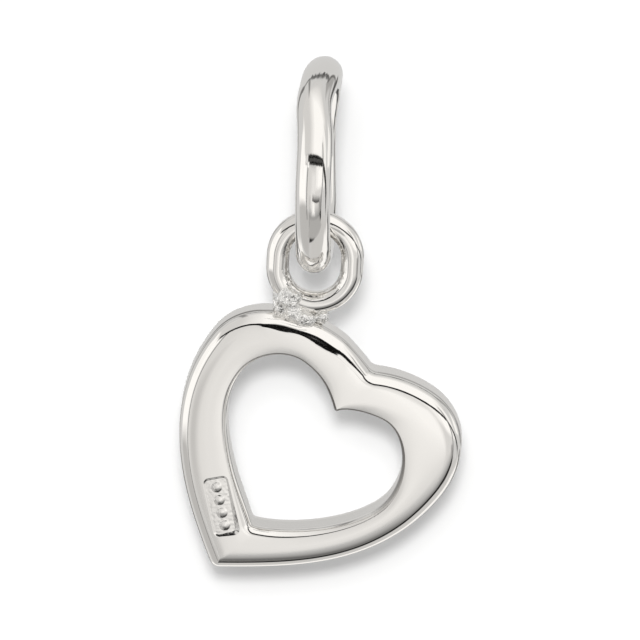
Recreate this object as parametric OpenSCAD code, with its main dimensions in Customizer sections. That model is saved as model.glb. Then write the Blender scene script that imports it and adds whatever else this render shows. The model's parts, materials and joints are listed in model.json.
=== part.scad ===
// Open heart pendant of polished silver, hanging from a heavy round bail ring.
// Sizes in millimetres. Up is +Z, the heart and its loop lie in the XZ plane,
// the flat back of the heart faces -Y and its domed front faces +Y.
// The origin is the inside top of the bail ring, where a chain passes.

/* [Bail ring] */
// distance across the outside of the bail ring
bail_outside_dia = 7.4; // [5:0.1:12]
// thickness of the round wire of the bail ring
bail_wire_dia = 1.2; // [0.6:0.05:2]

/* [Loop on the heart] */
// distance across the outside of the loop
loop_width = 3.31; // [2.6:0.01:5]
// straight length in each side of the loop, which makes it taller than wide
loop_straight = 0.40; // [0.1:0.01:1]
// thickness of the round wire of the loop
loop_wire_dia = 0.78; // [0.4:0.02:1.2]
// clear space between the top of the loop and the wire it hangs on
hang_gap = 0.07; // [0.02:0.01:0.2]

/* [Heart thickness and edges] */
// distance from the loop's middle plane to the flat back of the heart
back_depth = 0.70; // [0.4:0.05:1.2]
// height of the upright wall of the heart, measured from the flat back
wall_height = 1.18; // [0.7:0.02:2]
// height of the domed front above the wall, as a share of the band's width there
dome_share = 0.27; // [0.1:0.01:0.5]
// radius of the rolled outer edge of the back
outer_roll = 0.36; // [0.1:0.01:0.5]
// extra width of that roll where the right side bulges most
outer_roll_extra = 0.08; // [0:0.01:0.15]
// radius of the rolled edge of the opening
inner_roll = 0.13; // [0.05:0.01:0.2]

/* [Heart placing] */
// sideways position of the lower tip from the wire that the loop hangs on
tip_across = -2.73; // [-4:0.01:4]
// drop of the lower tip below the wire that the loop hangs on
tip_drop = 11.21; // [8:0.01:16]
// angle between the heart's own axis and the upright, in degrees
heart_tilt = 34.9; // [0:0.05:60]

/* [Outer edge of the flat back, from the tip, along the heart's own axis] */
// sideways position of the notch
outer_notch_across = 0.05; // [-1:0.01:1]
// height of the notch
outer_notch_height = 8.14; // [6:0.01:10]
// distance from the notch at which its rounding starts
outer_notch_cut = 0.36; // [0.3:0.01:0.6]
// left lobe, sideways distance of its top
outer_left_top_across = 1.51; // [0.8:0.01:3]
// left lobe, height of its top
outer_left_top_height = 8.50; // [7:0.01:10]
// left side, distance of its widest point
outer_left_side_across = 4.74; // [3:0.01:6]
// left side, height of its widest point
outer_left_side_height = 6.32; // [4:0.01:8]
// left lobe, angle of the edge at the notch, from the axis
outer_left_notch_angle = 71.6; // [30:0.1:85]
// left side, angle of the edge at the tip, from the axis
outer_left_tip_angle = 58.8; // [30:0.1:80]
// right lobe, sideways distance of its top
outer_right_top_across = 2.13; // [0.8:0.01:3]
// right lobe, height of its top
outer_right_top_height = 8.84; // [7:0.01:10]
// right side, distance of its widest point
outer_right_side_across = 4.14; // [3:0.01:6]
// right side, height of its widest point
outer_right_side_height = 6.42; // [4:0.01:8]
// right lobe, angle of the edge at the notch, from the axis
outer_right_notch_angle = 50.6; // [30:0.1:85]
// right side, angle of the edge at the tip, from the axis
outer_right_tip_angle = 52.0; // [30:0.1:80]

/* [Edge of the opening in the flat back] */
// sideways position of the opening's notch
inner_notch_across = -0.21; // [-1:0.01:1]
// height of the opening's notch
inner_notch_height = 6.87; // [5:0.01:8]
// sideways position of the opening's lower tip
inner_tip_across = 0.09; // [-1:0.01:1]
// height of the opening's lower tip
inner_tip_height = 1.40; // [0.8:0.01:3]
// distance from the opening's lower tip at which its rounding starts
inner_tip_cut = 0.24; // [0.18:0.01:0.5]
// left lobe, sideways distance of its top
inner_left_top_across = 2.10; // [0.8:0.01:3]
// left lobe, height of its top
inner_left_top_height = 7.58; // [6:0.01:9]
// left side, distance of its widest point
inner_left_side_across = 3.67; // [2:0.01:5]
// left side, height of its widest point
inner_left_side_height = 5.91; // [3:0.01:7]
// left lobe, angle of the edge at the notch, from the axis
inner_left_notch_angle = 51.8; // [20:0.1:85]
// left side, angle of the edge at the tip, from the axis
inner_left_tip_angle = 51.6; // [30:0.1:80]
// right lobe, sideways distance of its top
inner_right_top_across = 1.44; // [0.8:0.01:3]
// right lobe, height of its top
inner_right_top_height = 7.62; // [6:0.01:9]
// right side, distance of its widest point
inner_right_side_across = 3.31; // [2:0.01:5]
// right side, height of its widest point
inner_right_side_height = 5.28; // [3:0.01:7]
// right lobe, angle of the edge at the notch, from the axis
inner_right_notch_angle = 29.1; // [20:0.1:85]
// right side, angle of the edge at the tip, from the axis
inner_right_tip_angle = 72.1; // [30:0.1:80]

/* [Solder under the loop] */
// sideways position of the solder's left end
solder_left = -1.06; // [-2:0.01:0]
// sideways position of the solder's right end
solder_right = 0.30; // [0:0.01:1.5]
// radius of the solder at its left end
solder_left_radius = 0.34; // [0.2:0.01:0.6]
// radius of the solder at its middle
solder_middle_radius = 0.42; // [0.2:0.01:0.6]
// radius of the solder at its right end
solder_right_radius = 0.30; // [0.2:0.01:0.6]
// drop of the solder's left end below the middle of the loop's lowest wire
solder_left_drop = 0.12; // [0:0.01:0.6]
// drop of the solder's middle below the same place
solder_middle_drop = 0.40; // [0:0.01:0.8]
// drop of the solder's right end below the same place
solder_right_drop = 0.52; // [0:0.01:0.9]

/* [Hidden] */
// wire radii and centre-line radii
bail_wire_r = bail_wire_dia / 2;
bail_mid_r = bail_outside_dia / 2 - bail_wire_r;
loop_wire_r = loop_wire_dia / 2;
loop_mid_r = loop_width / 2 - loop_wire_r;
// heights of the bail's middle and of its lowest wire, which the loop hangs on
bail_middle_z = -bail_mid_r + bail_wire_r;
hang_z = bail_middle_z - bail_mid_r;
// the loop's upper and lower half-circle centres
loop_upper_z = hang_z + bail_wire_r + hang_gap + loop_wire_r - loop_mid_r;
loop_lower_z = loop_upper_z - loop_straight;
// depth planes of the heart
back_y = -back_depth;
wall_y = back_y + wall_height;
// share of a piece's length by which its curve handles reach at notch, lobe and flank
outer_left_handles = [0.20, 0.57, 0.37];
outer_right_handles = [0.32, 0.58, 0.39];
inner_left_handles = [0.39, 0.52, 0.34];
inner_right_handles = [0.24, 0.50, 0.27];
// how finely the outlines are worked out
curve_steps = 40;
side_stations = 36;
corner_stations = 9;
roll_steps = 4;
inner_roll_steps = 3;
dome_steps = 12;
// rounding of exact wires and of the solder's spheres
$fn = 96;
solder_facets = 20;
// where along the right side the wider roll is centred, and how far it reaches
roll_bulge_at = 0.36;
roll_bulge_reach = 0.34;

// point on a curve piece with two handles
function curve(a, b, c, d, t) =
    pow(1 - t, 3) * a + 3 * pow(1 - t, 2) * t * b + 3 * (1 - t) * t * t * c + t * t * t * d;

// points of one half of an outline, from notch to tip; side is -1 for left and 1 for right
function half_points(notch, tip, side, top_xz, side_xz, notch_angle, tip_angle, handles) =
    let (
        top = [side * top_xz[0], top_xz[1]],
        flank = [side * side_xz[0], side_xz[1]],
        reach_a = handles[0] * norm(top - notch),
        reach_c = handles[2] * norm(flank - tip),
        notch_way = [side * sin(notch_angle), cos(notch_angle)],
        tip_way = [side * sin(tip_angle), cos(tip_angle)],
        lobe_across = handles[1] * (flank[0] - top[0]),
        lobe_down = handles[1] * (top[1] - flank[1])
    )
    [
        for (i = [0 : curve_steps - 1])
            curve(notch, notch + reach_a * notch_way, top - [side * reach_a, 0], top, i / curve_steps),
        for (i = [0 : curve_steps - 1])
            curve(top, top + [lobe_across, 0], flank + [0, lobe_down], flank, i / curve_steps),
        for (i = [0 : curve_steps])
            curve(flank, flank - [0, reach_c], tip + reach_c * tip_way, tip, i / curve_steps)
    ];

// running length along a row of points
function running(points, i = 0, total = 0) =
    i == 0 ? concat([0], running(points, 1, 0))
    : i >= len(points) ? []
    : let (now = total + norm(points[i] - points[i - 1])) concat([now], running(points, i + 1, now));

// a half outline as two tables of position against running length
function tables(points) =
    let (s = running(points))
    [
        [for (i = [0 : len(points) - 1]) [s[i], points[i][0]]],
        [for (i = [0 : len(points) - 1]) [s[i], points[i][1]]],
        s[len(s) - 1]
    ];

function at(table, s) = [lookup(s, table[0]), lookup(s, table[1])];

// direction along a half outline, in degrees
function way(table, s) =
    let (
        reach = table[2] / (2 * curve_steps),
        d = at(table, min(s + reach, table[2])) - at(table, max(s - reach, 0))
    )
    atan2(d[1], d[0]);

// outline halves: the outer edge and the opening
outer_notch = [outer_notch_across, outer_notch_height];
outer_tip = [0, 0];
inner_notch = [inner_notch_across, inner_notch_height];
inner_tip = [inner_tip_across, inner_tip_height];

outer_left = tables(half_points(
    outer_notch, outer_tip, -1,
    [outer_left_top_across, outer_left_top_height],
    [outer_left_side_across, outer_left_side_height],
    outer_left_notch_angle, outer_left_tip_angle, outer_left_handles
));
outer_right = tables(half_points(
    outer_notch, outer_tip, 1,
    [outer_right_top_across, outer_right_top_height],
    [outer_right_side_across, outer_right_side_height],
    outer_right_notch_angle, outer_right_tip_angle, outer_right_handles
));
inner_left = tables(half_points(
    inner_notch, inner_tip, -1,
    [inner_left_top_across, inner_left_top_height],
    [inner_left_side_across, inner_left_side_height],
    inner_left_notch_angle, inner_left_tip_angle, inner_left_handles
));
inner_right = tables(half_points(
    inner_notch, inner_tip, 1,
    [inner_right_top_across, inner_right_top_height],
    [inner_right_side_across, inner_right_side_height],
    inner_right_notch_angle, inner_right_tip_angle, inner_right_handles
));

// extra width of the outer roll at a share of the way from notch to tip
function roll_bulge(share) =
    let (t = min(1, abs(share - roll_bulge_at) / roll_bulge_reach))
    outer_roll_extra * (1 + cos(180 * t)) / 2;

// a station is [edge point, outward angle, roll width]
// stations down the left, from notch to tip, with a stretch left out at each end
function left_side(table, cut_a, cut_b) =
    [
        for (i = [0 : side_stations])
            let (s = cut_a + (table[2] - cut_a - cut_b) * i / side_stations)
            [at(table, s), way(table, s) - 90, 0]
    ];

// stations up the right, from tip to notch
function right_side(table, cut_a, cut_b) =
    [
        for (i = [side_stations : -1 : 0])
            let (s = cut_a + (table[2] - cut_a - cut_b) * i / side_stations)
            [at(table, s), way(table, s) + 90, roll_bulge(s / table[2])]
    ];

// angle turned from a to b the short way
function turn(a, b) = let (d = (b - a) % 360) d > 180 ? d - 360 : d < -180 ? d + 360 : d;

// sharp corner: one point whose outward angle sweeps round
function sharp_corner(from, to) =
    [
        for (i = [1 : corner_stations])
            let (t = i / (corner_stations + 1))
            [(from[0] + to[0]) / 2, from[1] + t * turn(from[1], to[1]), 0]
    ];

// direction of the edge at a station, taken the way that leads towards a goal
function edge_towards(station, goal) =
    let (along = [-sin(station[1]), cos(station[1])])
    along * (goal - station[0]) < 0 ? -along : along;

// rounded corner between two stations, as a curve with handles along both edges
function round_corner(from, to) =
    let (
        bend = turn(from[1], to[1]),
        chord = norm(to[0] - from[0]),
        reach = abs(4 / 3 * tan(bend / 4) * chord / (2 * sin(bend / 2))),
        from_handle = from[0] + reach * edge_towards(from, to[0]),
        to_handle = to[0] + reach * edge_towards(to, from[0])
    )
    [
        for (i = [1 : corner_stations])
            let (t = i / (corner_stations + 1))
            [curve(from[0], from_handle, to_handle, to[0], t), from[1] + t * bend, 0]
    ];

// whole rounds of stations, starting at the notch and running down the left
outer_l = left_side(outer_left, outer_notch_cut, 0);
outer_r = right_side(outer_right, outer_notch_cut, 0);
inner_l = left_side(inner_left, 0, inner_tip_cut);
inner_r = right_side(inner_right, 0, inner_tip_cut);
outer_round = concat(
    outer_l,
    sharp_corner(outer_l[side_stations], outer_r[0]),
    outer_r,
    round_corner(outer_r[side_stations], outer_l[0])
);
inner_round = concat(
    inner_l,
    round_corner(inner_l[side_stations], inner_r[0]),
    inner_r,
    sharp_corner(inner_r[side_stations], inner_l[0])
);

// from the heart's own axis to the hanging position
function hung(p, y) =
    [
        tip_across + p[0] * cos(heart_tilt) + p[1] * sin(heart_tilt),
        y,
        hang_z - tip_drop - p[0] * sin(heart_tilt) + p[1] * cos(heart_tilt)
    ];

// one closed section across the band, from the opening round the back and over the front
function section(outer, inner) =
    let (
        out_way = [cos(outer[1]), sin(outer[1])],
        in_way = -[cos(inner[1]), sin(inner[1])],
        roll = outer_roll + outer[2],
        edge = outer[0] + roll * out_way,
        rim = inner[0] + inner_roll * in_way,
        dome = dome_share * norm(edge - rim)
    )
    [
        hung(inner[0], back_y),
        for (i = [0 : roll_steps])
            let (a = 90 * i / roll_steps)
            hung(outer[0] + roll * sin(a) * out_way, back_y + outer_roll * (1 - cos(a))),
        for (i = [0 : dome_steps])
            let (a = 180 * i / dome_steps)
            hung(edge + (rim - edge) * (1 - cos(a)) / 2, wall_y + dome * sin(a)),
        for (i = [inner_roll_steps : -1 : 1])
            let (a = 90 * i / inner_roll_steps)
            hung(inner[0] + inner_roll * sin(a) * in_way, back_y + inner_roll * (1 - cos(a)))
    ];

// skin joined from section to section, closed into a ring
module ring_of_sections(sections) {
    n = len(sections);
    m = len(sections[0]);
    polyhedron(
        points = [for (s = sections) each s],
        faces = [
            for (i = [0 : n - 1])
                for (j = [0 : m - 1])
                    let (
                        a = i * m + j,
                        b = i * m + (j + 1) % m,
                        c = ((i + 1) % n) * m + (j + 1) % m,
                        d = ((i + 1) % n) * m + j
                    )
                    each [[a, c, b], [a, d, c]]
        ],
        convexity = 8
    );
}

// band of the heart
module heart_band() {
    ring_of_sections([for (i = [0 : len(outer_round) - 1]) section(outer_round[i], inner_round[i])]);
}

// upright half circle of wire, open side down
module half_loop() {
    rotate([90, 0, 0])
        rotate_extrude(angle = 180)
            translate([loop_mid_r, 0])
                circle(r = loop_wire_r);
}

// loop of round wire, two half circles joined by short straights
module hanging_loop() {
    translate([0, 0, loop_upper_z])
        half_loop();
    translate([0, 0, loop_lower_z])
        mirror([0, 0, 1])
            half_loop();
    for (side = [-1, 1])
        translate([side * loop_mid_r, 0, loop_lower_z])
            cylinder(h = loop_straight, r = loop_wire_r);
}

module solder_ball(x, z, r) {
    translate([x, 0, z])
        sphere(r = r, $fn = solder_facets);
}

// solder that fills the corner between the loop and the left lobe
module solder() {
    foot_z = loop_lower_z - loop_mid_r;
    left_z = foot_z - solder_left_drop;
    middle_z = foot_z - solder_middle_drop;
    right_z = foot_z - solder_right_drop;
    middle_x = (solder_left + solder_right) / 2;
    hull() {
        solder_ball(solder_left, left_z, solder_left_radius);
        solder_ball(middle_x, middle_z, solder_middle_radius);
    }
    hull() {
        solder_ball(middle_x, middle_z, solder_middle_radius);
        solder_ball(solder_right, right_z, solder_right_radius);
    }
}

module heart_pendant() {
    color("silver")
        union() {
            heart_band();
            hanging_loop();
            solder();
        }
}

// heavy ring that carries the heart and takes the chain
module bail_ring() {
    color("gainsboro")
        translate([0, 0, bail_middle_z])
            rotate([0, 90, 0])
                rotate_extrude()
                    translate([bail_mid_r, 0])
                        circle(r = bail_wire_r);
}

bail_ring();
heart_pendant();
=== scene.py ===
import json
import math

import bmesh
import bpy
from mathutils import Matrix, Vector, geometry, noise


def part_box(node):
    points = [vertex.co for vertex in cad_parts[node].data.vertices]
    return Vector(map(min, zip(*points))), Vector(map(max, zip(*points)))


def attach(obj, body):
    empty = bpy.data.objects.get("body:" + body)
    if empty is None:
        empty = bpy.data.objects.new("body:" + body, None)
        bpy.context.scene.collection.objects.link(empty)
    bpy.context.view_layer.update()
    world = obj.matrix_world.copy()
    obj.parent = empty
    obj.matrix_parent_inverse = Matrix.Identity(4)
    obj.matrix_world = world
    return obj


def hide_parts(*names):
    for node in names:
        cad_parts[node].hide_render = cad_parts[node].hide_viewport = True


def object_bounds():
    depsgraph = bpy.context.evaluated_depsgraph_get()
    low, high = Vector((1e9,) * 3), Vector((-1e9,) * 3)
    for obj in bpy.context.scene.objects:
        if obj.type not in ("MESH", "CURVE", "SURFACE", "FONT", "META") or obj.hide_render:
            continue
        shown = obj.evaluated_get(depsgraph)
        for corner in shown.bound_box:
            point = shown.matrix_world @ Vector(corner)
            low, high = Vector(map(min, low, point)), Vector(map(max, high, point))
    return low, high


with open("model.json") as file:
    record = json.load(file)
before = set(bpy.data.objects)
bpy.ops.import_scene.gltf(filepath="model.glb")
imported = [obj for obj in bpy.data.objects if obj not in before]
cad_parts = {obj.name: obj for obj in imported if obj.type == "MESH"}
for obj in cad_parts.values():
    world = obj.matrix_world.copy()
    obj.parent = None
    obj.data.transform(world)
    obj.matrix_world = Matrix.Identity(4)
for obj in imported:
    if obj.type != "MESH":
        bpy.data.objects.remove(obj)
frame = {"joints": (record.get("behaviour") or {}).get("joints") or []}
cad_low, cad_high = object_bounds()

# Camera. The pendant is looked at from its flat back, a little from above, through a long lens,
# so that near and far wire keep the same thickness. The camera leans a little, which makes the
# plumb line of the pendant lean to the right in the picture.
mm = 0.001
hang_point = Vector(frame["joints"][0]["pos_m"])
view_azimuth = math.radians(2.0)
view_elevation = math.radians(20.0)
camera_lean = math.radians(2.95)
view_width = 21.77 * mm
aim_right = 0.15 * mm
aim_below = 2.37 * mm

camera_data = bpy.data.cameras.new("long_lens")
camera_data.lens = 1500
camera_data.sensor_width = 36
to_camera = Vector((
    math.sin(view_azimuth) * math.cos(view_elevation),
    -math.cos(view_azimuth) * math.cos(view_elevation),
    math.sin(view_elevation),
))
level_right = Vector((math.cos(view_azimuth), math.sin(view_azimuth), 0))
level_up = to_camera.cross(level_right)
camera_right = level_right * math.cos(camera_lean) + level_up * math.sin(camera_lean)
camera_up = level_up * math.cos(camera_lean) - level_right * math.sin(camera_lean)
camera_distance = view_width * camera_data.lens / camera_data.sensor_width
aim = hang_point + camera_right * aim_right - camera_up * aim_below


def placed(name, data):
    """A new object in the scene."""
    thing = bpy.data.objects.new(name, data)
    bpy.context.scene.collection.objects.link(thing)
    return thing


camera = placed("camera", camera_data)
turned = Matrix((camera_right, camera_up, to_camera)).transposed().to_4x4()
camera.matrix_world = Matrix.Translation(aim + to_camera * camera_distance) @ turned
camera_data.clip_start = 1 * mm
camera_data.clip_end = 2000 * mm
bpy.context.scene.camera = camera
bpy.context.scene.view_settings.view_transform = "Standard"


# Bail ring. A heavy ring of round silver wire, bent up cold and closed, then tumbled and
# polished bright. The chain passes through its top and the loop of the heart hangs in it.
bail_low, bail_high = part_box("bail_ring")
bail_wire_radius = (bail_high.x - bail_low.x) / 2
bail_mid_radius = (bail_high.z - bail_low.z) / 2 - bail_wire_radius
bail_centre = (bail_high + bail_low) / 2
bail_round_steps = 96
bail_turn_steps = 360
# it was closed by eye, so both sides bow to the left: where, how far round, by how much
bail_bows = ((62, 23, 0.21 * mm), (15, 45, 0.09 * mm), (178, 40, 0.225 * mm))
# and the bending pressed the wire wider on its left side near the top
pressed_at, pressed_reach, pressed_out = 92, 17, 0.11 * mm
# the loop has rubbed its lowest part uneven, below this height under the ring's centre
rubbed_below = 1.9 * mm
rubbed_fade = 0.5 * mm
rubbed_depth = 0.005 * mm
rubbed_spacing = 0.2 * mm

# how bright and how warm polished sterling silver is, and the grey of the painted shade that draws
# dark reflection lines along the heart's rolled edges
sterling_tone = (0.93, 0.915, 0.89)
painted_line_grey = (0.14, 0.13, 0.12)
fine_grain = 0.003 * mm


def clamped(value):
    """A share, held between 0 and 1."""
    return max(0, min(1, value))


def polished_by_hand(skin, depth, spacing, start):
    """The gentle hollows and swells that polishing leaves."""
    skin.normal_update()
    for point in skin.verts:
        swell = noise.noise(point.co / spacing + start)
        point.co += point.normal * depth * swell


def shape_of(name, skin):
    """A finished skin as a mesh."""
    shape = bpy.data.meshes.new(name)
    skin.to_mesh(shape)
    skin.free()
    return shape


def silver_piece(name, skin, finish, body):
    """A finished skin as a piece that moves with a body."""
    bmesh.ops.recalc_face_normals(skin, faces=skin.faces)
    for face in skin.faces:
        face.smooth = True
    shape = shape_of(name, skin)
    shape.materials.append(finish)
    piece = placed(name, shape)
    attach(piece, body)
    return piece


def silver(name, gloss, dull, tone=sterling_tone, grain_depth=fine_grain, residue_and_painted_shade=painted_line_grey):
    """Polished silver: bright where the wheel reached, dull and grainy where it didn't, and greyed
    towards a residue colour.
    A skin attribute says where, from 0 to 1; the grey is polishing residue on the loop, and on the
    heart painted shade, dark reflection lines along its rolled edges."""
    finish = bpy.data.materials.new(name)
    finish.use_nodes = True
    nodes = finish.node_tree.nodes
    links = finish.node_tree.links
    surface = nodes["Principled BSDF"]
    surface.inputs["Metallic"].default_value = 1.0

    place = nodes.new("ShaderNodeTexCoord")
    cloudy = nodes.new("ShaderNodeTexNoise")
    cloudy.inputs["Scale"].default_value = 900
    cloudy.inputs["Detail"].default_value = 3
    links.new(place.outputs["Object"], cloudy.inputs["Vector"])

    colour = nodes.new("ShaderNodeMix")
    colour.data_type = "RGBA"
    colour.inputs["A"].default_value = (*(0.97 * c for c in tone), 1)
    colour.inputs["B"].default_value = (*tone, 1)
    links.new(cloudy.outputs["Fac"], colour.inputs["Factor"])
    reach = nodes.new("ShaderNodeAttribute")
    reach.attribute_name = "unpolished_and_painted_shade"
    greying = nodes.new("ShaderNodeMapRange")
    greying.inputs["From Min"].default_value = 0.55
    greying.inputs["To Max"].default_value = 0.92
    links.new(reach.outputs["Fac"], greying.inputs["Value"])
    # greyed towards the residue colour: polishing residue on the loop, painted shade as dark
    # reflection lines on the heart
    greyed = nodes.new("ShaderNodeMix")
    greyed.data_type = "RGBA"
    greyed.inputs["B"].default_value = (*residue_and_painted_shade, 1)
    links.new(greying.outputs["Result"], greyed.inputs["Factor"])
    links.new(colour.outputs["Result"], greyed.inputs["A"])
    links.new(greyed.outputs["Result"], surface.inputs["Base Color"])
    shine = nodes.new("ShaderNodeMapRange")
    shine.inputs["From Min"].default_value = 0.35
    shine.inputs["From Max"].default_value = 0.65
    shine.inputs["To Min"].default_value = gloss * 0.8
    shine.inputs["To Max"].default_value = gloss * 1.3
    links.new(cloudy.outputs["Fac"], shine.inputs["Value"])
    rough = nodes.new("ShaderNodeMix")
    rough.inputs["B"].default_value = dull
    links.new(reach.outputs["Fac"], rough.inputs["Factor"])
    links.new(shine.outputs["Result"], rough.inputs["A"])
    links.new(rough.outputs["Result"], surface.inputs["Roughness"])

    grain = nodes.new("ShaderNodeTexNoise")
    grain.inputs["Scale"].default_value = 26000
    grain.inputs["Detail"].default_value = 4
    links.new(place.outputs["Object"], grain.inputs["Vector"])
    strength = nodes.new("ShaderNodeMapRange")
    strength.inputs["To Min"].default_value = 0.02
    strength.inputs["To Max"].default_value = 0.6
    links.new(reach.outputs["Fac"], strength.inputs["Value"])
    relief = nodes.new("ShaderNodeBump")
    relief.inputs["Distance"].default_value = grain_depth
    links.new(strength.outputs["Result"], relief.inputs["Strength"])
    links.new(grain.outputs["Fac"], relief.inputs["Height"])
    links.new(relief.outputs["Normal"], surface.inputs["Normal"])
    return finish


bail = bmesh.new()
bail_section = bmesh.ops.create_circle(
    bail, segments=bail_round_steps, radius=bail_wire_radius
)["verts"]
bmesh.ops.rotate(bail, verts=bail_section, matrix=Matrix.Rotation(math.pi / 2, 3, "X"))
bmesh.ops.translate(bail, verts=bail_section, vec=(0, 0, bail_mid_radius))
bmesh.ops.spin(
    bail, geom=bail.verts[:] + bail.edges[:], axis=(1, 0, 0), cent=(0, 0, 0),
    angle=math.tau, steps=bail_turn_steps, use_merge=True,
)
for point in bail.verts:
    round_ring = math.degrees(math.atan2(point.co.z, -point.co.y))
    moved = 0
    for at, reach, bow in bail_bows:
        off = (round_ring - at + 180) % 360 - 180
        moved -= bow * math.exp(-((off / reach) ** 2))
    leftward = max(0, -point.co.x / bail_wire_radius)
    moved -= pressed_out * leftward * math.exp(-(((round_ring - pressed_at) / pressed_reach) ** 2))
    point.co.x += moved
bmesh.ops.translate(bail, verts=bail.verts, vec=bail_centre)
bmesh.ops.recalc_face_normals(bail, faces=bail.faces)
polished_by_hand(bail, depth=0.010 * mm, spacing=0.9 * mm, start=Vector((3, 1, 4)))
bail.normal_update()
for point in bail.verts:
    rubbed = clamped((bail_centre.z - rubbed_below - point.co.z) / rubbed_fade)
    swell = noise.noise(point.co / rubbed_spacing)
    point.co += point.normal * rubbed_depth * rubbed * swell

bail_finish = silver("bail_silver", gloss=0.07, dull=0.30)
bail_ring = silver_piece("bail_ring_silver", bail, bail_finish, "bail")
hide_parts("bail_ring")


# Heart band. An open heart cast in silver, flat at the back and domed at the front, its outer
# edge rolled over by polishing and its wall left plainer. The heart hangs askew, point to the left.
back_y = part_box("heart_pendant")[0].y
wall_height = 1.18 * mm
wall_y = back_y + wall_height
dome_share = 0.27
outer_roll = 0.36 * mm
outer_roll_extra = 0.08 * mm
roll_bulge_at = 0.36
roll_bulge_reach = 0.34
inner_roll = 0.12 * mm
inner_roll_depth = 0.32 * mm
heart_tip = hang_point + Vector((-2.73 * mm, 0, -11.21 * mm))
heart_tilt = math.radians(34.9)

# the flat back falls away in its last two tenths of a millimetre, and is a little crowned except
# near the notch, within this share of the way from there to the tip
crown = 0.022 * mm
crown_starts = 0.14
edge_fall = 0.020 * mm
edge_fall_reach = 0.16 * mm
outer_roll_starts = math.radians(11)
inner_roll_starts = math.radians(5)

# how little the wheel reached the walls and the feet of the dome
wall_unpolished = 0.5
opening_unpolished = 0.6

# painted shade: a dark reflection line greyed onto the foot of the outer roll, from this share of its
# turn: how much, how uneven, and the places with more of it
shade_line_starts = 0.72
shade_line_fade = 0.22
shade_line_mean = 0.80
shade_line_spread = 0.25
shade_line_ripples = 7
shade_line_row = 3
shade_line_swells = ((-0.37, 0.08, 0.50), (0.27, 0.14, 0.25))
# round the opening, painted shade greys the rolled rim into a dark reflection line, fading out where
# the wheel widened the edge by this much
rim_shade_cleared_by = 0.10 * mm

# where the wheel went deeper, as shares of the way from notch to tip, below 0 on the left: the
# middle of the place, its reach, and the extra width of the rolled edge
outer_swells = ((-0.22, 0.16, 0.075 * mm), (0.13, 0.09, 0.035 * mm))
inner_swells = ((1.0, 0.33, 0.24 * mm), (-1.0, 0.14, 0.24 * mm), (-0.62, 0.2, 0.08 * mm))
inner_swell_on_flat = 0.62

# facets filed beside the loop, where the solder was cleaned off: how steep, as seen on an edge that
# points straight up, how quickly they set in, and how wide they are
facet_tilt = math.radians(17)
facet_upright_least = 0.84
facet_sets_in = 0.03 * mm
facet_swells = (
    (-0.258, 0.036, 0.15 * mm), (-0.155, 0.040, 0.16 * mm), (-0.095, 0.036, 0.05 * mm),
)

# how finely the skin is divided
side_steps = 150
corner_steps = 22
flat_steps = 30
roll_steps = 16
wall_steps = 5
dome_steps = 30
curve_steps = 240


def half_outline(notch, tip, side, top, flank, notch_angle, tip_angle, reaches):
    """Half of a heart's outline, from the notch over the lobe and down the side to the tip."""
    lobe_top = Vector((side * top[0], top[1])) * mm
    widest = Vector((side * flank[0], flank[1])) * mm
    from_notch, from_tip = (
        Vector((side * math.sin(a), math.cos(a)))
        for a in (math.radians(notch_angle), math.radians(tip_angle))
    )
    first = reaches[0] * (lobe_top - notch).length
    last = reaches[2] * (widest - tip).length
    across = Vector((reaches[1] * (widest.x - lobe_top.x), 0))
    down = Vector((0, reaches[1] * (lobe_top.y - widest.y)))
    parts = (
        (notch, notch + first * from_notch, lobe_top - Vector((side * first, 0)), lobe_top),
        (lobe_top, lobe_top + across, widest + down, widest),
        (widest, widest - Vector((0, last)), tip + last * from_tip, tip),
    )
    points = [notch]
    for part in parts:
        points += geometry.interpolate_bezier(*part, curve_steps)[1:]
    return points


def walk(points, start_gap, end_gap, steps):
    """Evenly spaced stations along an outline, each a place, a direction in radians and a share."""
    reach = [0.0]
    for a, b in zip(points, points[1:]):
        reach.append(reach[-1] + (b - a).length)
    total = reach[-1]
    stations = []
    k = 0
    for i in range(steps + 1):
        s = start_gap + (total - start_gap - end_gap) * i / steps
        while k < len(points) - 2 and reach[k + 1] < s:
            k += 1
        t = (s - reach[k]) / (reach[k + 1] - reach[k])
        place = points[k].lerp(points[k + 1], t)
        ahead = points[min(k + 3, len(points) - 1)] - points[max(k - 2, 0)]
        stations.append((place, math.atan2(ahead.y, ahead.x), s / total))
    return stations


def roll_bulge(along):
    """Extra width of the rolled edge on the right side, which was polished harder."""
    t = min(1, abs(along - roll_bulge_at) / roll_bulge_reach)
    return outer_roll_extra * (1 + math.cos(math.pi * t)) / 2


def swelling(swells, along):
    """What the places of a list add at one share of the way."""
    return sum(extra * math.exp(-((along - at) / reach) ** 2) for at, reach, extra in swells)


def turn_between(a, b):
    """Angle from a to b, the short way round."""
    return (b - a + math.pi) % math.tau - math.pi


def sharp_corner(one, other):
    """A point in which two sides meet, as stations that only turn."""
    middle = (one[0] + other[0]) / 2
    turn = turn_between(one[1], other[1])
    shares = [i / (corner_steps + 1) for i in range(1, corner_steps + 1)]
    return [(middle, one[1] + t * turn, other[2]) for t in shares]


def round_corner(one, other):
    """A rounded corner between two stations."""
    bend = turn_between(one[1], other[1])
    chord = (other[0] - one[0]).length
    reach = abs(4 / 3 * math.tan(bend / 4) * chord / (2 * math.sin(bend / 2)))
    go = math.copysign(1, bend)
    a = reach * go * Vector((-math.sin(one[1]), math.cos(one[1])))
    b = reach * go * Vector((-math.sin(other[1]), math.cos(other[1])))
    ahead = math.copysign(1, a.dot(other[0] - one[0]))
    row = geometry.interpolate_bezier(
        one[0], one[0] + ahead * a, other[0] - ahead * b, other[0], corner_steps + 2
    )
    return [
        (row[i], one[1] + bend * i / (corner_steps + 1), other[2])
        for i in range(1, corner_steps + 1)
    ]


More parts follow.
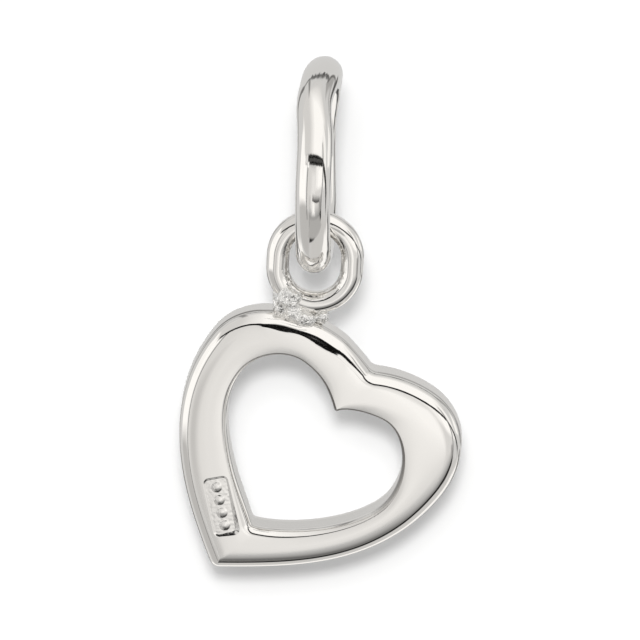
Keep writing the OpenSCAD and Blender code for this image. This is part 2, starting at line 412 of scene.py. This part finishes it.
def whole_outline(left, right, notch_gap, tip_gap, notch_corner, tip_corner):
    """Stations right round, from the notch down the left and up the right: place, outward angle,
    and share of the way from notch to tip, which counts below 0 on the left."""
    down = [
        (p, a - math.pi / 2, -share) for p, a, share in walk(left, notch_gap, tip_gap, side_steps)
    ]
    up = [
        (p, a + math.pi / 2, share)
        for p, a, share in reversed(walk(right, notch_gap, tip_gap, side_steps))
    ]
    return down + tip_corner(down[-1], up[0]) + up + notch_corner(up[-1], down[0])


outer_notch = Vector((0.05, 8.14)) * mm
outer_tip = Vector((0, 0))
outer_outline = whole_outline(
    half_outline(
        outer_notch, outer_tip, -1, (1.51, 8.50), (4.74, 6.32), 71.6, 58.8, (0.20, 0.57, 0.37)
    ),
    half_outline(
        outer_notch, outer_tip, 1, (2.13, 8.84), (4.14, 6.42), 50.6, 52.0, (0.32, 0.58, 0.39)
    ),
    0.36 * mm, 0, round_corner, sharp_corner,
)
inner_notch = Vector((-0.21, 6.87)) * mm
inner_tip = Vector((0.09, 1.40)) * mm
inner_outline = whole_outline(
    half_outline(
        inner_notch, inner_tip, -1, (2.10, 7.58), (3.67, 5.91), 51.8, 51.6, (0.39, 0.52, 0.34)
    ),
    half_outline(
        inner_notch, inner_tip, 1, (1.44, 7.62), (3.31, 5.28), 29.1, 72.1, (0.24, 0.50, 0.27)
    ),
    0, 0.24 * mm, sharp_corner, round_corner,
)


def hung(flat_place, y):
    """From the heart's own axis to where it hangs."""
    x = heart_tip.x + flat_place.x * math.cos(heart_tilt) + flat_place.y * math.sin(heart_tilt)
    z = heart_tip.z - flat_place.x * math.sin(heart_tilt) + flat_place.y * math.cos(heart_tilt)
    return Vector((x, y, z))


def rolled(edge, way, width, depth, starts, y):
    """Places round a rolled edge, from the flat to the wall."""
    across = width / (1 - math.sin(starts))
    row = []
    for i in range(1, roll_steps + 1):
        a = starts + (math.pi / 2 - starts) * i / roll_steps
        out = across * (math.sin(a) - math.sin(starts))
        fall = depth * (math.cos(starts) - math.cos(a))
        row.append((edge + out * way, y + fall))
    return row


def band_section(outer, inner):
    """One cut across the band: over the flat back, round the edge, over the front, and back
    through the opening. Each place comes with how little the polishing wheel reached it, and
    along the rolled edges with how much painted shade greys it into a dark reflection line."""
    outer_edge, outer_angle, along = outer
    inner_edge, inner_angle, inner_along = inner
    out_way = Vector((math.cos(outer_angle), math.sin(outer_angle)))
    in_way = -Vector((math.cos(inner_angle), math.sin(inner_angle)))
    outer_extra = swelling(outer_swells, along)
    inner_extra = swelling(inner_swells, inner_along)
    outer_edge = outer_edge - outer_extra * out_way
    inner_edge = inner_edge - inner_extra * inner_swell_on_flat * in_way
    width = (outer_edge - inner_edge).length
    facet = swelling(facet_swells, along)
    faceted = min(1, facet / facet_sets_in)
    clear = min(1, abs(along) / crown_starts)
    rise = crown * clear * clear * (3 - 2 * clear)
    square = (outer_edge - inner_edge).normalized().dot(out_way)
    upright = out_way.y * math.cos(heart_tilt) - out_way.x * math.sin(heart_tilt)
    tilt = facet_tilt / max(facet_upright_least, upright)
    places = []

    # the flat back, from the opening outwards
    for i in range(flat_steps + 1):
        t = (1 - math.cos(math.pi * i / flat_steps)) / 2
        fall = rise * (2 * t - 1) ** 2
        fall += (1 - faceted) * edge_fall * math.exp(-(1 - t) * width / edge_fall_reach)
        fall += math.tan(tilt) * square * faceted * max(0, facet - (1 - t) * width)
        places.append((inner_edge.lerp(outer_edge, t), back_y + fall, 0.0))
    edge_y = places[-1][1]
    rim_y = places[0][1]

    # the outer edge, rolled over, and the wall
    roll = outer_roll + roll_bulge(along) + outer_extra
    starts = outer_roll_starts + tilt * faceted
    depth = roll / (1 - math.sin(outer_roll_starts))
    # painted shade: a dark reflection line greyed into the foot of the outer roll, uneven along the
    # edge
    shade_line = shade_line_mean + shade_line_spread * noise.noise(Vector((shade_line_ripples * along, 0, shade_line_row)))
    shade_line += swelling(shade_line_swells, along)
    turned_over = rolled(outer_edge, out_way, roll, depth, starts, edge_y)
    for k, (place, y) in enumerate(turned_over):
        places.append((place, y, shade_line * max(0, k / roll_steps - shade_line_starts) / shade_line_fade))
    edge, y = turned_over[-1]
    for i in range(1, wall_steps + 1):
        places.append((edge, y + (wall_y - y) * i / wall_steps, wall_unpolished))

    # the domed front
    rim_roll = inner_roll + inner_extra
    inner_turn = rolled(inner_edge, in_way, rim_roll, inner_roll_depth, inner_roll_starts, rim_y)
    rim, low_y = inner_turn[-1]
    dome = dome_share * (edge - rim).length
    for i in range(1, dome_steps + 1):
        a = math.pi * i / dome_steps
        dull = wall_unpolished * max(0, 1 - 4 * math.sin(a))
        places.append((edge.lerp(rim, (1 - math.cos(a)) / 2), wall_y + dome * math.sin(a), dull))

    # the wall of the opening and its rolled edge
    for i in range(1, wall_steps + 1):
        places.append((rim, wall_y + (low_y - wall_y) * i / wall_steps, opening_unpolished))
    # painted shade: the rolled rim of the opening greyed into a dark reflection line
    rim_shade_line = max(0, 1 - inner_extra / rim_shade_cleared_by)
    for place, y in reversed(inner_turn[:-1]):
        places.append((place, y, rim_shade_line))
    return [(hung(place, y), dull) for place, y, dull in places]


def only(kind, parts):
    """The points, edges or faces among the parts that an operator made."""
    return [part for part in parts if isinstance(part, kind)]


band = bmesh.new()
# how little the wheel reached each place, and how much painted shade greys the rolled edges into dark
# reflection lines
unpolished_and_painted_shade = band.verts.layers.float.new("unpolished_and_painted_shade")
sections = [band_section(outer, inner) for outer, inner in zip(outer_outline, inner_outline)]
row = []
for place, dull in sections[0]:
    point = band.verts.new(place)
    point[unpolished_and_painted_shade] = dull
    row.append(point)
seam = [band.edges.new((a, b)) for a, b in zip(row, row[1:] + row[:1])]
for cut in sections[1:] + sections[:1]:
    grown = bmesh.ops.extrude_edge_only(band, edges=seam)["geom"]
    seam = only(bmesh.types.BMEdge, grown)
    fresh = set(only(bmesh.types.BMVert, grown))
    next_row = []
    for point in row:
        neighbours = [edge.other_vert(point) for edge in point.link_edges]
        next_row.append(next(other for other in neighbours if other in fresh))
    for point, (place, dull) in zip(next_row, cut):
        point.co = place
        point[unpolished_and_painted_shade] = dull
    row = next_row
same_place = 0.0002 * mm
bmesh.ops.remove_doubles(band, verts=band.verts, dist=same_place)
bmesh.ops.dissolve_degenerate(band, dist=same_place / 2, edges=band.edges)
bmesh.ops.recalc_face_normals(band, faces=band.faces)

# a plain oblong punched into the back above the point, deeper at its lower right corner, with
# four round beads standing in it
punch_middle = Vector((-2.76, 0, -14.84)) * mm
punch_lean = math.radians(14)
punch_half_width = 0.40 * mm
punch_half_length = 1.04 * mm
punch_corner = 0.17 * mm
punch_depth = 0.030 * mm
punch_slope = 0.06 * mm
punch_corner_deeper = 1.2
punch_corner_softer = 1.7
punch_grain = 0.004 * mm
punch_grain_spacing = 0.10 * mm
punch_unpolished = 0.35
# how far round the oblong the skin is divided more finely, and how far from its middle it may move
punch_margin = 0.14 * mm
punch_area_half_width = 0.75 * mm
punch_area_half_length = 1.35 * mm
faces_back = -0.9
bead_radius = 0.19 * mm
bead_height = 0.042 * mm
bead_spacing = 0.47 * mm
bead_places = (-1.5, -0.5, 0.5, 1.5)


def punched(point):
    """How far right and up from the middle of the punched oblong a point of the back lies."""
    off = point - punch_middle
    right = off.x * math.cos(punch_lean) + off.z * math.sin(punch_lean)
    up = off.z * math.cos(punch_lean) - off.x * math.sin(punch_lean)
    return right, up


def on_punch(face):
    """Whether a face of the back is struck by the punch or borders on it."""
    right, up = punched(face.calc_center_median())
    across = abs(right) < punch_half_width + punch_margin
    along = abs(up) < punch_half_length + punch_margin
    return across and along and face.normal.y < faces_back


# each edge once, in the order of the faces
struck = dict.fromkeys(edge for face in band.faces if on_punch(face) for edge in face.edges)
bmesh.ops.subdivide_edges(band, edges=list(struck), cuts=4, use_grid_fill=True)
band.normal_update()
for point in band.verts:
    right, up = punched(point.co)
    away = abs(right) > punch_area_half_width or abs(up) > punch_area_half_length
    if away or point.normal.y > faces_back:
        continue
    across = max(abs(right) - punch_half_width + punch_corner, 0)
    along = max(abs(up) - punch_half_length + punch_corner, 0)
    outside = math.hypot(across, along) - punch_corner
    low_right = clamped(0.5 * right / punch_half_width - 0.7 * up / punch_half_length)
    sunk = clamped(0.5 - outside / (punch_slope * (1 + punch_corner_softer * low_right)))
    push = punch_depth * sunk * (1 + punch_corner_deeper * low_right)
    push += punch_grain * sunk * noise.noise(point.co / punch_grain_spacing)
    for k in bead_places:
        from_bead = (right * right + (up - k * bead_spacing) ** 2) / bead_radius ** 2
        push -= bead_height * max(0, 1 - from_bead)
    point.co.y += push
    point[unpolished_and_painted_shade] = max(point[unpolished_and_painted_shade], punch_unpolished * sunk)

polished_by_hand(band, depth=0.006 * mm, spacing=2.2 * mm, start=Vector((7, 2, 5)))
heart_finish = silver("heart_silver", gloss=0.06, dull=0.34)
heart_band = silver_piece("heart_band_silver", band, heart_finish, "heart")
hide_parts("heart_pendant")


# Hanging loop. A short link of round silver wire, a little taller than wide, which passes
# through the bail ring. It was closed by soldering it down onto the heart.
loop_wire_radius = 0.39 * mm
loop_mid_radius = 1.265 * mm
loop_upper = hang_point + Vector((0, 0, -0.205 * mm))
loop_lower = loop_upper - Vector((0, 0, 0.40 * mm))
loop_round_steps = 110
loop_turn_steps = 190

# its inner side was out of the wheel's reach, from where the wire turns inward by this much: rough
# with two sizes of pits, and spared a little near the bottom
hidden_starts = 0.38
hidden_fade = 0.3
hidden_at_bottom = 0.3
bottom_reach = 0.9 * mm
bottom_fade = 0.5 * mm
pit_depth = 0.009 * mm
pit_spacing = 0.10 * mm
small_pit_share = 0.7
small_pit_spacing = 0.055 * mm
hidden_dull_mean = 0.8
hidden_dull_spread = 0.5
hidden_dull_spacing = 0.07 * mm
loop_paste_grey = (0.42, 0.41, 0.39)


def straight_side(skin, end, way):
    """The open end of a tube drawn straight on."""
    grown = bmesh.ops.extrude_edge_only(skin, edges=only(bmesh.types.BMEdge, end))["geom"]
    bmesh.ops.translate(skin, verts=only(bmesh.types.BMVert, grown), vec=way)
    return grown


loop = bmesh.new()
loop_section = bmesh.ops.create_circle(
    loop, segments=loop_round_steps, radius=loop_wire_radius
)["verts"]
bmesh.ops.translate(loop, verts=loop_section, vec=loop_upper + Vector((loop_mid_radius, 0, 0)))
upper_turn = bmesh.ops.spin(
    loop, geom=loop.verts[:] + loop.edges[:], axis=(0, -1, 0), cent=loop_upper,
    angle=math.pi, steps=loop_turn_steps,
)["geom_last"]
first_side = straight_side(loop, upper_turn, loop_lower - loop_upper)
lower_turn = bmesh.ops.spin(
    loop, geom=only((bmesh.types.BMVert, bmesh.types.BMEdge), first_side), axis=(0, -1, 0),
    cent=loop_lower, angle=math.pi, steps=loop_turn_steps,
)["geom_last"]
straight_side(loop, lower_turn, loop_upper - loop_lower)
bmesh.ops.remove_doubles(loop, verts=loop.verts, dist=0.001 * mm)
bmesh.ops.recalc_face_normals(loop, faces=loop.faces)
polished_by_hand(loop, depth=0.007 * mm, spacing=0.6 * mm, start=Vector((1, 8, 2)))
loop_unpolished = loop.verts.layers.float.new("unpolished_and_painted_shade")
loop.normal_update()
for point in loop.verts:
    middle_z = max(loop_lower.z, min(loop_upper.z, point.co.z))
    inward = Vector((hang_point.x - point.co.x, 0, middle_z - point.co.z)).normalized()
    hidden = clamped((point.normal.dot(inward) - hidden_starts) / hidden_fade)
    over_bottom = clamped((point.co.z - loop_lower.z + bottom_reach) / bottom_fade)
    hidden *= max(hidden_at_bottom, over_bottom)
    pits = noise.noise(point.co / pit_spacing)
    pits += small_pit_share * noise.noise(point.co / small_pit_spacing)
    point.co += point.normal * pit_depth * hidden * pits
    dull = hidden_dull_mean + hidden_dull_spread * noise.noise(point.co / hidden_dull_spacing)
    point[loop_unpolished] = hidden * dull

loop_finish = silver(
    "loop_silver", gloss=0.06, dull=0.26, grain_depth=0.004 * mm, residue_and_painted_shade=loop_paste_grey
)
hanging_loop = silver_piece("hanging_loop_silver", loop, loop_finish, "heart")
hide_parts("heart_pendant")


# Solder. Hard silver solder that ran into the corner between the loop and the left lobe and
# froze there, left as it cooled: lumpy, with a fine crystalline grain. Each lump has a middle,
# measured from the seat of the chain, and a radius, all in mm.
solder_lumps = (
    (-1.04, -0.02, -7.60, 0.31),
    (-1.27, -0.05, -7.18, 0.13),
    (-1.20, -0.08, -7.34, 0.18),
    (-1.14, -0.10, -7.52, 0.23),
    (-1.02, -0.25, -7.31, 0.29),
    (-0.92, -0.31, -7.03, 0.22),
    (-0.72, -0.35, -7.12, 0.23),
    (-0.52, -0.37, -7.19, 0.20),
    (-0.72, -0.33, -7.44, 0.29),
    (-1.08, -0.14, -7.70, 0.29),
    (-0.38, -0.02, -7.87, 0.42),
    (-0.62, -0.34, -7.76, 0.29),
    (-0.34, -0.42, -7.92, 0.28),
    (-0.06, -0.40, -7.97, 0.24),
    (0.30, -0.02, -7.96, 0.30),
    (0.38, -0.24, -7.88, 0.20),
    (-0.38, 0.26, -7.80, 0.32),
    (-0.85, 0.24, -7.55, 0.30),
)
solder_voxel = 0.03 * mm
solder_smoothings = 24

# its skin: depth and spacing of the swells, the crystals and the grain
solder_swell, solder_swell_spacing = 0.024 * mm, 0.22 * mm
solder_crystal, solder_crystal_spacing = 0.013 * mm, 0.09 * mm
solder_grain, solder_grain_spacing = 0.011 * mm, 0.06 * mm

lumps = bmesh.new()
for x, y, z, radius in solder_lumps:
    bmesh.ops.create_icosphere(
        lumps, subdivisions=3, radius=radius * mm, matrix=Matrix.Translation(Vector((x, y, z)) * mm)
    )
lump_holder = placed("solder_lumps", shape_of("solder_lumps", lumps))
fuse = lump_holder.modifiers.new("fuse", "REMESH")
fuse.mode = "VOXEL"
fuse.voxel_size = solder_voxel
fused_shape = lump_holder.evaluated_get(bpy.context.evaluated_depsgraph_get()).to_mesh()
solder = bmesh.new()
solder.from_mesh(fused_shape)
bpy.data.objects.remove(lump_holder)
for _ in range(solder_smoothings):
    bmesh.ops.smooth_vert(
        solder, verts=solder.verts, factor=0.5, use_axis_x=True, use_axis_y=True, use_axis_z=True
    )
bmesh.ops.subdivide_edges(solder, edges=solder.edges, cuts=1, use_grid_fill=True, smooth=0.0)
solder.normal_update()
for point in solder.verts:
    rise = solder_swell * noise.noise(point.co / solder_swell_spacing)
    rise += solder_crystal * (noise.cell(point.co / solder_crystal_spacing) - 0.5)
    rise += solder_grain * noise.noise(point.co / solder_grain_spacing)
    point.co += point.normal * rise

# its finish: bright crystals, with burnt flux in the joints between them here and there
solder_finish = silver("solder_silver", gloss=0.20, dull=0.30)
solder_nodes = solder_finish.node_tree.nodes
solder_links = solder_finish.node_tree.links
solder_place = solder_nodes.new("ShaderNodeTexCoord")
crystals = solder_nodes.new("ShaderNodeTexVoronoi")
crystals.feature = "DISTANCE_TO_EDGE"
crystals.inputs["Scale"].default_value = 11000
solder_links.new(solder_place.outputs["Object"], crystals.inputs["Vector"])
joints = solder_nodes.new("ShaderNodeMapRange")
joints.inputs["From Max"].default_value = 0.11
solder_links.new(crystals.outputs["Distance"], joints.inputs["Value"])
patches = solder_nodes.new("ShaderNodeTexNoise")
patches.inputs["Scale"].default_value = 6500
solder_links.new(solder_place.outputs["Object"], patches.inputs["Vector"])
spared = solder_nodes.new("ShaderNodeMapRange")
spared.inputs["From Min"].default_value = 0.53
spared.inputs["From Max"].default_value = 0.65
spared.inputs["To Min"].default_value = 1.0
spared.inputs["To Max"].default_value = 0.0
solder_links.new(patches.outputs["Fac"], spared.inputs["Value"])
clean = solder_nodes.new("ShaderNodeMath")
clean.operation = "MAXIMUM"
solder_links.new(joints.outputs["Result"], clean.inputs[0])
solder_links.new(spared.outputs["Result"], clean.inputs[1])
flux_grey = solder_nodes.new("ShaderNodeMix")
flux_grey.data_type = "RGBA"
flux_grey.inputs["A"].default_value = (0.36, 0.35, 0.33, 1)
flux_grey.inputs["B"].default_value = (0.97, 0.965, 0.95, 1)
solder_links.new(clean.outputs["Value"], flux_grey.inputs["Factor"])
solder_links.new(flux_grey.outputs["Result"], solder_nodes["Principled BSDF"].inputs["Base Color"])
loop_solder = silver_piece("loop_solder_silver", solder, solder_finish, "heart")
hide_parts("heart_pendant")


# Floor and light. A plain white table well under the point of the heart, two soft lamps just above
# the camera that throw the near shadow and its wide soft edge, and a tent of pale panels with dark
# gaps between them, which only the polished silver sees.
floor_gap = 30 * mm
floor_reach = 900 * mm
table_tone = (0.82, 0.82, 0.82)
floor_skin = bmesh.new()
bmesh.ops.create_circle(floor_skin, cap_ends=True, segments=96, radius=floor_reach)
bmesh.ops.translate(floor_skin, verts=floor_skin.verts, vec=(0, 0, cad_low.z - floor_gap))
floor_white = bpy.data.materials.new("white_table")
floor_white.use_nodes = True
table_top = floor_white.node_tree.nodes["Principled BSDF"]
table_top.inputs["Base Color"].default_value = (*table_tone, 1)
table_top.inputs["Roughness"].default_value = 0.9
floor_shape = shape_of("floor", floor_skin)
floor_shape.materials.append(floor_white)
floor = placed("floor", floor_shape)
floor.visible_glossy = False

# the lamps stand a little behind the camera: power in watts, then how wide each one is, how far
# above the camera's line and how far to its left. Their light doesn't weaken with distance
lamp_behind_camera = 40 * mm
lamps = (
    ("low_lamp", 52, 2.9 * mm, 5.6 * mm, 0.4 * mm),
    ("soft_low_lamp", 41, 11.8 * mm, 9.5 * mm, 1.2 * mm),
)
for lamp_name, lamp_power, lamp_radius, lamp_above, lamp_left in lamps:
    lamp_data = bpy.data.lights.new(lamp_name, "POINT")
    lamp_data.energy = lamp_power
    lamp_data.shadow_soft_size = lamp_radius
    lamp_data.use_nodes = True
    lamp_nodes = lamp_data.node_tree.nodes
    even = lamp_nodes.new("ShaderNodeLightFalloff")
    even.inputs["Strength"].default_value = 1.0
    lamp_data.node_tree.links.new(even.outputs["Constant"], lamp_nodes["Emission"].inputs["Strength"])
    lamp = placed(lamp_name, lamp_data)
    lamp.location = aim + to_camera * (camera_distance + lamp_behind_camera)
    lamp.location += camera_up * lamp_above - camera_right * lamp_left
    lamp.visible_camera = False
    lamp.visible_glossy = False

# what the room gives to the table, to the silver between the tent's parts, and to the eye
table_light = 0.49
tent_grey = 0.66
eye_white = 1.02
room = bpy.data.worlds.new("room")
bpy.context.scene.world = room
room.use_nodes = True
room_nodes = room.node_tree.nodes
room_links = room.node_tree.links
backdrop = room_nodes["Background"]
ray = room_nodes.new("ShaderNodeLightPath")
for_floor = room_nodes.new("ShaderNodeMix")
for_floor.inputs["A"].default_value = table_light
for_floor.inputs["B"].default_value = tent_grey
for_eye = room_nodes.new("ShaderNodeMix")
for_eye.inputs["B"].default_value = eye_white
backdrop.inputs["Color"].default_value = (1, 0.995, 0.985, 1)
room_links.new(ray.outputs["Is Glossy Ray"], for_floor.inputs["Factor"])
room_links.new(for_floor.outputs["Result"], for_eye.inputs["A"])
room_links.new(ray.outputs["Is Camera Ray"], for_eye.inputs["Factor"])
room_links.new(for_eye.outputs["Result"], backdrop.inputs["Strength"])

tent_middle = (cad_low + cad_high) / 2


def tent_part(
    name, sides, heights, brightness, fade, distance,
    overhead=False, slope=0, sag=(0, 0), ragged=0, middle=tent_middle,
):
    """A curved piece of the tent that only polished silver sees. Its sides and heights are in
    degrees, from the front and from level; overhead pieces arch from front to back instead.
    It fades over some degrees at its left, right, low and high border. It can slope to one
    side, its two ends can sag towards the sides, and it can be ragged. The distance is in mm."""
    fades = fade if isinstance(fade, tuple) else (fade, fade, fade, fade)
    sheet = bmesh.new()
    bmesh.ops.create_grid(sheet, x_segments=60, y_segments=60, size=1)
    cover = sheet.verts.layers.float.new("cover")
    wide = (sides[1] - sides[0]) / 2
    high = (heights[1] - heights[0]) / 2
    for point in sheet.verts:
        inside = (
            (1 + point.co.x) * wide, (1 - point.co.x) * wide,
            (1 + point.co.y) * high, (1 - point.co.y) * high,
        )
        point[cover] = min(1.0, *(gap / soft for gap, soft in zip(inside, fades)))
        aside = (sides[0] + sides[1]) / 2 + point.co.x * wide
        far = (1 + point.co.y) / 2
        height = (heights[0] + heights[1]) / 2 + point.co.y * high
        height += slope * point.co.x * wide + (sag[0] * (1 - far) + sag[1] * far) * aside ** 2
        height += ragged * noise.noise(Vector((0.3 * aside, 3 * far, distance)))
        a = math.radians(aside)
        e = math.radians(height)
        if overhead:
            way = Vector((math.sin(a), -math.cos(a) * math.cos(e), math.cos(a) * math.sin(e)))
        else:
            way = Vector((math.sin(a) * math.cos(e), -math.cos(a) * math.cos(e), math.sin(e)))
        point.co = middle + way * distance * mm
    glow = bpy.data.materials.new(name)
    glow.use_nodes = True
    nodes = glow.node_tree.nodes
    links = glow.node_tree.links
    nodes.remove(nodes["Principled BSDF"])
    emit = nodes.new("ShaderNodeEmission")
    emit.inputs["Color"].default_value = (1, 0.985, 0.965, 1)
    emit.inputs["Strength"].default_value = brightness
    clear = nodes.new("ShaderNodeBsdfTransparent")
    share = nodes.new("ShaderNodeAttribute")
    share.attribute_name = "cover"
    blend = nodes.new("ShaderNodeMixShader")
    links.new(share.outputs["Fac"], blend.inputs["Fac"])
    links.new(clear.outputs["BSDF"], blend.inputs[1])
    links.new(emit.outputs["Emission"], blend.inputs[2])
    links.new(blend.outputs["Shader"], nodes["Material Output"].inputs["Surface"])
    shape = shape_of(name, sheet)
    shape.materials.append(glow)
    made = placed(name, shape)
    made.visible_camera = False
    made.visible_diffuse = False
    made.visible_shadow = False


# the roof, brightest over the middle and dimming towards the back, where it ends in a dark edge
tent_part("roof", (-70, 64), (22, 122), 0.70, (3, 3, 2, 16), 420, overhead=True)
tent_part("roof_core", (-30, 58), (27, 112), 1.06, (30, 14, 6, 24), 412, overhead=True)
tent_part("roof_left_strip", (-90, -62), (-10, 104), 1.05, (1, 5, 6, 8), 410, overhead=True)
tent_part("roof_right_strip", (56, 84), (140, 200), 1.00, 4, 409, overhead=True)
tent_part("roof_right_shade", (36, 49), (130, 174), 0.40, (1.5, 3, 2, 4), 400, overhead=True)
tent_part("roof_left_rise", (-32, -23), (96, 139), 0.24, (4, 3, 20, 2), 396, overhead=True)
tent_part(
    "roof_back_edge", (-25, 41), (121.5, 129.5), 0.07, (1.5, 2, 6, 1.2), 395,
    overhead=True, slope=-0.12, sag=(0.013, 0.013), ragged=5,
)
tent_part("back_left_edge", (-46, -25), (144, 149), 0.10, 1.2, 394, overhead=True, slope=-0.7)
tent_part("back_left_side", (-46, -38), (153, 192), 0.20, 2, 394, overhead=True)
tent_part("back_right_rise", (37, 41), (136, 188), 0.14, 1.5, 393, overhead=True)
tent_part("back_right_side", (29, 42), (184, 203), 0.10, (1.5, 2, 2, 2), 392, overhead=True)

# the front and the sides
tent_part("front", (-40, 60), (-30, 17), 0.74, (4, 4, 8, 2), 420)
tent_part("front_light", (-14, 18), (-32, 14), 0.86, (14, 8, 14, 6), 412)
tent_part("lobe_light", (-4, 20), (-29, -2), 1.03, (10, 7, 7, 9), 40, True)
tent_part("front_right_light", (12, 60), (-10, 18), 0.98, (10, 6, 8, 2), 410)
tent_part("front_spot", (-25, -8), (-29, -12), 0.60, 6, 406)
tent_part("left_light", (-98, -42), (-25, 17), 1.10, (3, 3, 6, 3), 412)
tent_part("right_light", (30, 62), (-8, 14), 1.08, (3, 3, 5, 3), 408)
tent_part("right_strip", (67, 88), (-12, 50), 0.98, 4, 412)

# the table, greyer towards the lens, and the lens's own dark edge
tent_part("low_left", (-68, -6), (-100, -30), 0.53, (4, 10, 4, 6), 421, overhead=True)
tent_part("low_right", (-8, 64), (-132, -53), 0.62, 6, 420, overhead=True)
tent_part(
    "front_shade", (-18, 58), (-55, -25), 0.16, (6, 6, 1.5, 24), 402, overhead=True, ragged=1,
)
tent_part(
    "front_edge", (-12, 54), (-66, -49), 0.02, 1.5, 385, overhead=True, slope=0.25, ragged=1,
)

# dark gaps between the panels, and the light and dark edge of the table's near end
tent_part("left_gap", (-39, -34), (-42, 21), 0.05, 2, 390)
tent_part("left_far_gap", (-140, -131), (-44, 26), 0.22, 3, 395)
tent_part("right_far_gap", (60, 66), (-44, 32), 0.12, 2.5, 395)
tent_part("right_low_gap", (42, 56), (-44, -22), 0.34, 4, 394, overhead=True)
tent_part("right_seam", (64, 104), (-10, -1), 0.03, 1, 385, slope=-0.79)
tent_part("low_bright", (-45, 55), (-140, -104), 1.02, (8, 8, 3, 3), 405, True, ragged=4)
tent_part("low_dark", (-40, 50), (-151, -141), 0.08, 1.5, 404, True, ragged=4)
tent_part("camera_gap", (-56, 60), (18, 31), 0.004, (2, 2, 1, 1), 380, overhead=True, ragged=2)

# small cards held close to the bail ring
at_bar = bail_centre + Vector((0, -3.45, 1.35)) * mm
at_middle = bail_centre - Vector((0, 3.7, 0)) * mm
at_low = bail_centre - Vector((0, 3.6, 0.85)) * mm
tent_part("card_bar", (-39, 62), (19.5, 28.5), 0.07, 1, 2.45, True, ragged=3, middle=at_bar)
tent_part("card_left", (-62, -43), (12, 38), 0.76, 2, 2.4, True, middle=at_bar)
tent_part("card_bright", (-44, -34), (6, 20), 1.10, 1.5, 2.35, True, middle=at_bar)
tent_part("card_low", (-20, 56), (-79, -34), 0.45, (6, 6, 4, 8), 2.6, True, middle=at_low)
tent_part(
    "card_dark", (-2, 50), (-26, -8), 0.08, (2.5, 4, 1.2, 15), 2.4, True,
    slope=-0.22, middle=at_middle,
)
